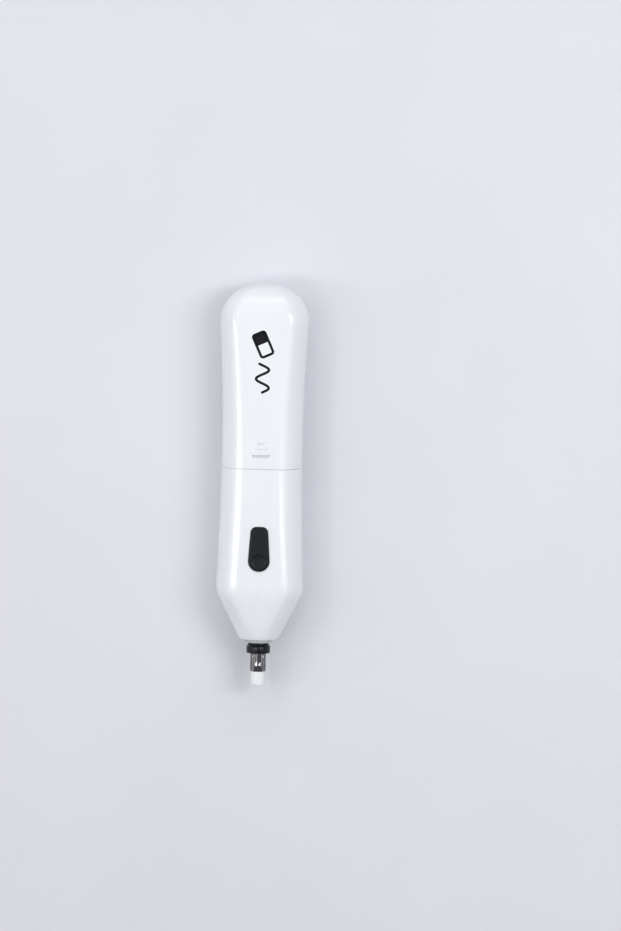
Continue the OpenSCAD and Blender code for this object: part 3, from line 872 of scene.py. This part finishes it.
def make_print(material):
    """A plain picture of an eraser block rubbing out a wavy line, where the front has its print."""
    start, end = 77.6, 97.2
    line = 0.8
    bm = bmesh.new()
    wave_high, wave_long, turns = 2.0, 5.6, 1.6
    steps = int(24 * turns)
    ink_stroke(bm, [(wave_high * math.sin(math.tau * k / 24), start + line / 2 + wave_long * k / 24)
                    for k in range(steps + 1)], line)
    turn = Matrix.Rotation(math.radians(24), 2)
    centre = Vector((0, end - 4.3))
    wide, tall, sleeve = 4.0, 7.4, 0.2
    block = [(-wide / 2, -tall / 2, 0.8), (wide / 2, -tall / 2, 0.8), (wide / 2, tall / 2, 0.8),
             (-wide / 2, tall / 2, 0.8)]
    ink_stroke(bm, [centre + turn @ p for p in rounded(block, closed=True)], line, closed=True)
    edge = wide / 2 - 0.2
    sleeve_shape = [(-edge, sleeve), (edge, sleeve), (edge, tall / 2 - 0.2), (-edge, tall / 2 - 0.2)]
    ink_shape(bm, [centre + turn @ Vector(p) for p in sleeve_shape])
    piece = add_object("cover_print", bm, material)
    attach(piece, "cover")


# ---- nose ring, chuck and eraser ----

def make_nose_ring(material):
    """The ring that holds the two housing halves together at the nose; its grey colour is painted shade."""
    front, back = reach("nose_ring")
    inner, spigot, flange, flange_back = 3.55, 4.0, 4.3, -0.02
    corners = [(inner, front, 0.15), (flange, front, 0.2), (flange, flange_back, 0.05),
               (spigot, flange_back, 0.03), (spigot, back, 0.05), (inner, back, 0.05)]
    bm = bmesh.new()
    lathe(bm, rounded(corners, closed=True), closed=True)
    finish_piece(add_object("nose_ring_piece", bm, material), "body", ["nose_ring"])


def make_collar(material):
    """The black collar and hub that turns in the nose."""
    start, end = reach("chuck_hub")
    flange, bore, neck = 3.75, 2.46, 3.2
    body = middle_and_radius("chuck_hub")[1]
    shaft, floor = 1.01, 12.2
    corners = [(bore, start, 0.1), (flange, start, 0.3), (flange, start + 2, 0.25),
               (neck, start + 2.9, 0.2), (neck, 2.6, 0.2), (body, 3.3, 0.2), (body, end, 0.5),
               (shaft, end, 0.1), (shaft, floor, 0), (bore, floor, 0)]
    bm = bmesh.new()
    lathe(bm, rounded(corners, closed=True), closed=True)
    finish_piece(add_object("collar_piece", bm, material), "spindle", ["chuck_hub"])


def slot_cutter(a, mouth, material):
    """A slot through the chuck's wall at an angle, from its mouth to a small round hole."""
    slot_half = 0.17
    hole_r, hole_s = 0.42, -5.4
    out = Vector((math.cos(a), 0, math.sin(a)))
    side = Vector((-math.sin(a), 0, math.cos(a)))
    along = Vector((0, 1, 0))
    shape = [(-slot_half, mouth - 1), (slot_half, mouth - 1)]
    gap = math.asin(slot_half / hole_r)
    turns = [-math.pi / 2 + gap + (math.tau - 2 * gap) * k / 20 for k in range(21)]
    shape += [(hole_r * math.cos(t), hole_s + hole_r * math.sin(t)) for t in turns]
    bm = bmesh.new()
    stack(bm, [[place(0, 0, 0) + (out * r + side * u + along * v) * MM for u, v in shape]
               for r in (1.2, 4)])
    return add_object("slot", bm, material)


def make_collet(material):
    """The chromed sleeve: a slightly swelling mouth, split by slots that end in small round holes."""
    mouth, inner_end = reach("collet")
    bore, outside, swell = 2.29, 2.44, 0.06
    slots = 4
    outline = [(bore, inner_end), (outside, inner_end), (outside, mouth + 3.4)]
    outline += [(outside + swell * math.sin(math.pi * k / 8) ** 2, mouth + 3.0 - 2.6 * k / 8)
                for k in range(1, 8)]
    outline += [(outside + 0.005, mouth + 0.35), (outside - 0.03, mouth + 0.12), (outside - 0.09, mouth),
                (bore + 0.03, mouth + 0.03), (bore, mouth + 0.15)]
    bm = bmesh.new()
    lathe(bm, outline, 144, closed=True)
    sleeve = add_object("collet_piece", bm, material)
    for i in range(slots):
        combine(sleeve, slot_cutter(math.radians(45 + 360 * i / slots), mouth, material), "DIFFERENCE")
    finish_piece(sleeve, "spindle", ["collet"])


def make_eraser(material):
    """The eraser: a moulded stick with softly rounded ends."""
    start, end = reach("eraser_stick")
    r = middle_and_radius("eraser_stick")[1]
    corners = [(0, start, 0), (r - 0.02, start, 0.35), (r, start + 1.2, 0.5), (r, end - 0.1, 0.3),
               (0, end, 0)]
    bm = bmesh.new()
    lathe(bm, rounded(corners, steps=6))
    finish_piece(add_object("eraser_piece", bm, material), "eraser", ["eraser_stick"])


# ---- power and wiring ----

def make_cell(name, node, nub_first, film, steel):
    """An AAA cell: film-wrapped can with folded edges, a steel nub and a steel base."""
    start, end = reach(node)
    x, r = middle_and_radius(node)
    nub_r, nub_l = 1.9, 0.9
    length = end - start
    flip = (lambda s: start + s) if nub_first else (lambda s: end - s)
    film_corners = [(r - 1.4, nub_l + 0.25, 0.05), (r - 0.1, nub_l, 0.25), (r, nub_l + 0.9, 0.2),
                    (r - 0.02, nub_l + 1.6, 0.3), (r, length - 0.8, 0.2), (r - 0.05, length - 0.05, 0.3),
                    (r - 1.2, length - 0.06, 0.05), (r - 1.2, length - 0.5, 0), (r - 1.4, nub_l + 0.8, 0)]
    bm = bmesh.new()
    lathe(bm, [(p[0], flip(p[1])) for p in rounded(film_corners, closed=True)], 72, closed=True, x=x)
    jacket = add_object(name, bm, film)
    finish_piece(jacket, "body", [node])
    can_corners = [(0, 0, 0), (nub_r, 0, 0.35), (nub_r, nub_l - 0.05, 0.2), (r - 1.25, nub_l + 0.3, 0.2),
                   (r - 1.25, length - 0.02, 0.2), (0, length, 0)]
    bm = bmesh.new()
    lathe(bm, [(p[0], flip(p[1])) for p in rounded(can_corners)], 72, x=x)
    can = add_object(name + "_can", bm, steel)
    smooth_faces(can)
    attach(can, "body")


def coil_path(x, start, end, low_r, high_r, turns=3.0, steps=40):
    """Points of a conical spring along the body, with a flat turn at each end."""
    total = int(steps * (turns + 1))
    path = []
    for k in range(total + 1):
        t = k / total
        rise = min(1.0, max(0.0, (t * (turns + 1) - 0.5) / turns))
        a = math.tau * (turns + 1) * t
        r = low_r + (high_r - low_r) * rise
        path.append(place(x + r * math.cos(a), start + (end - start) * rise, r * math.sin(a)))
    return path


def make_spring(name, node, x, start, end, material, plate=None):
    """A battery spring, on the contact plate it is fixed to where one is given."""
    wire, low_r, high_r = 0.25, 3, 1.8
    toward = 1 if end > start else -1
    bm = bmesh.new()
    sweep(bm, coil_path(x, start + toward * wire, end - toward * wire, low_r, high_r), wire * MM, 10)
    piece = add_object(name, bm, material)
    if plate:
        combine(piece, plate, "UNION")
    finish_piece(piece, "body", [node])


def negative_plate():
    """The negative contact's plate and tab: the positive contact's, mirrored."""
    plate = welded_copy("contact_positive")
    plate.data.transform(Matrix.Diagonal((-1, 1, 1, 1)))
    plate.data.flip_normals()
    return plate


def make_wire(name, node, route, material):
    """One insulated wire along its route."""
    bm = bmesh.new()
    sweep(bm, smooth_path([place(*p) for p in route]), 0.45 * MM, 16)
    finish_piece(add_object(name, bm, material), "body", [node])


def screw_rings(x, s):
    """The rings of one screw: a domed head, and a shank with a cut thread that ends in a point."""
    head_r, shank_r = 1.8, 0.98
    pitch, depth, steps, rings_a_turn = 0.8, 0.17, 24, 6
    base = SCREW_SEAT_Z - SCREW_HEAD_H
    head = [(base + 0.02, head_r * 0.62), (base + 0.06, head_r * 0.78), (base + 0.25, head_r * 0.93),
            (base + 0.6, head_r), (SCREW_SEAT_Z - 0.1, head_r), (SCREW_SEAT_Z, head_r - 0.1)]
    rings = [circle(x, s, r, z, steps) for z, r in head]
    for k in range(int((SCREW_LENGTH - 0.8) / pitch * rings_a_turn)):
        z = SCREW_SEAT_Z + k * pitch / rings_a_turn
        ring = []
        for j in range(steps):
            a = math.tau * j / steps
            phase = (z / pitch + j / steps) % 1
            r = shank_r - depth * abs(2 * phase - 1)
            ring.append(place(x + r * math.cos(a), s + r * math.sin(a), z))
        rings.append(ring)
    rings.append(circle(x, s, 0.3, SCREW_SEAT_Z + SCREW_LENGTH, steps))
    return rings


def cross_cutter(x, s, along, material):
    """One arm of the cross in a screw's head, along the body or across it."""
    bm = bmesh.new()
    rings = []
    for z, arm, half in [(SCREW_SEAT_Z - SCREW_HEAD_H - 0.2, 1.15, 0.26), (SCREW_SEAT_Z - 0.35, 0.65, 0.2)]:
        a, b = (arm, half) if along else (half, arm)
        rings.append([place(x + u * a, s + v * b, z) for u, v in SQUARE])
    stack(bm, rings)
    return add_object("cross", bm, material)


def make_screws(material):
    """Four self-tapping screws: domed heads with a cross recess and a cut thread."""
    places = [(side * x, s) for x, s in SCREW_X_S for side in (-1, 1)]
    screws = bmesh.new()
    for x, s in places:
        stack(screws, screw_rings(x, s))
    piece = add_object("housing_screws_piece", screws, material)
    for x, s in places:
        for along in (False, True):
            combine(piece, cross_cutter(x, s, along, material), "DIFFERENCE")
    finish_piece(piece, "body", ["housing_screws"])


def make_windings(material):
    """Three coils of wire around the armature's poles, fuller in the middle than at their ends."""
    start, end = reach("armature_windings")
    arm = 1.15
    bm = bmesh.new()
    for i in range(3):
        turn = Matrix.Rotation(math.radians(120 * i), 3, "Y")
        rings = []
        for depth, thick in [(2.35, 0.5), (2.6, 0.85), (3.1, 0.95), (3.5, 0.85), (3.72, 0.5)]:
            ring = []
            for k in range(64):
                a = math.tau * (k + 0.5) / 64
                u = math.copysign(abs(math.cos(a)) ** 0.4, math.cos(a)) * (arm + thick)
                v = math.copysign(abs(math.sin(a)) ** 0.4, math.sin(a)) * (end - start - 1.9 + 2 * thick) / 2
                ring.append(place(0, (start + end) / 2, 0) + turn @ Vector((depth, v, u)) * MM)
            rings.append(ring)
        stack(bm, rings)
    piece = add_object("armature_windings_piece", bm, material)
    finish_piece(piece, "spindle", ["armature_windings"])


def repaint(node, material, bevel=0.0):
    """Gives a CAD node a finished material and softened edges."""
    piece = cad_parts[node]
    piece.data.materials.clear()
    piece.data.materials.append(material)
    if bevel:
        weld = piece.modifiers.new("weld", "WELD")
        weld.merge_threshold = 0.0005 * MM
        soft = piece.modifiers.new("soft_edges", "BEVEL")
        soft.width = bevel * MM
        soft.segments = 2
        soft.limit_method = "ANGLE"
        soft.angle_limit = math.radians(40)
        weighted = piece.modifiers.new("weighted", "WEIGHTED_NORMAL")
        weighted.keep_sharp = True


def make_floor(material):
    """A wide sheet of paper under the eraser."""
    bm = bmesh.new()
    half = 3.0
    bm.faces.new(add_ring(bm, [(x * half, y * half, 0) for x, y in SQUARE]))
    add_object("floor", bm, material)


# ---- the whole eraser ----

RED_ROUTE = [(-2.3, 48.8, 3.9), (-2.1, 47.2, 4.9), (-1.5, 45.6, 6.4), (-0.7, 44, 7.2), (0, 42.3, 7.5)]
WHITE_ROUTE = [(-6.8, 45.8, 0.4), (-7.7, 46.1, 1.6), (-8.1, 45.5, 3.4), (-7.3, 44.2, 5.4), (-5.8, 43, 7),
               (-4.6, 41.6, 7.6), (-4.4, 39, 7.4), (-4.35, 37, 7.05), (-4.35, 35.9, 7)]
BLACK_ROUTE = [(2.3, 48.8, 3.9), (2.6, 47, 4.6), (4, 45.6, 4.8), (5.8, 45.4, 3.8), (6.8, 45.6, 2.2),
               (6.9, 45.8, 0.8)]

make_camera()
make_lights()
make_floor(floor_paper())

shell = shell_plastic()
steel = brushed_metal("motor_plate", (0.58, 0.58, 0.60), 0.32)
nickel = polished_metal("nickel_plate", (0.70, 0.68, 0.64), 0.16, 0.3)
copper = polished_metal("bright_copper", (0.80, 0.38, 0.20), 0.2, 0.36)
brass = polished_metal("bright_brass", (0.78, 0.56, 0.26), 0.2, 0.36)

make_housing(shell)
make_cover(shell)
make_print(print_ink())
# The ring's mid grey is painted shade: it stands for the shadowed edge of the white nose under the nose
# face.
make_nose_ring(matt_plastic("ring_grey_painted_shade", (0.50, 0.51, 0.53)))
make_switch(black_plastic("switch_plastic", (0.0065, 0.0078, 0.0115), 0.3, 0.42, 0.2))
make_collar(black_plastic("collar_plastic", (0.004, 0.0045, 0.006), 0.14, 0.24, 0.3))
# The chrome's dark base colour is painted shade: it stands in for the dark surroundings that the sleeve
# reflects.
make_collet(polished_metal("chuck_chrome", (0.17, 0.17, 0.175), 0.05, 0.13))
make_eraser(eraser_vinyl())

for cell, nub_first in (("battery_1", True), ("battery_2", False)):
    low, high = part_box(cell)
    ends = (low.y, high.y) if nub_first else (high.y, low.y)
    make_cell(cell + "_piece", cell, nub_first, cell_film(*ends), nickel)
cell_x = middle_and_radius("battery_2")[0]
bay_start, bay_end = reach("battery_1")[0], reach("battery_2")[1]
make_spring("contact_negative_piece", "contact_negative", cell_x, bay_start - 0.08, bay_start + 2.9, nickel,
            negative_plate())
make_spring("bridge_spring_piece", "bridge_spring", -cell_x, bay_end, bay_end - 2.85, nickel)
make_wire("wire_red_piece", "wire_red", RED_ROUTE, wire_vinyl("vinyl_red", (0.5, 0.02, 0.02)))
make_wire("wire_white_piece", "wire_white", WHITE_ROUTE, wire_vinyl("vinyl_white", (0.75, 0.75, 0.73)))
make_wire("wire_black_piece", "wire_black", BLACK_ROUTE, wire_vinyl("vinyl_black", (0.02, 0.02, 0.02)))
make_screws(brushed_metal("zinc_plate", (0.52, 0.52, 0.50), 0.3))
make_windings(wound_copper())

repaint("battery_holder", matt_plastic("holder_plastic", (0.62, 0.63, 0.65)), 0.12)
repaint("motor_end_bell", matt_plastic("bell_plastic", (0.70, 0.70, 0.68)), 0.1)
repaint("switch_base", matt_plastic("pressed_laminate", (0.20, 0.09, 0.03)), 0.05)
repaint("motor_magnets", matt_plastic("sintered_magnet", (0.035, 0.035, 0.04), 0.6), 0.15)
for node in ("motor_can", "motor_shaft", "armature_core"):
    repaint(node, steel, 0.08)
for node in ("contact_positive", "bridge_contact"):
    repaint(node, nickel, 0.05)
for node in ("contact_leaf", "contact_fixed", "motor_brushes", "commutator"):
    repaint(node, copper, 0.03)
for node in ("motor_front_bush", "motor_rear_bush", "motor_terminals"):
    repaint(node, brass, 0.06)
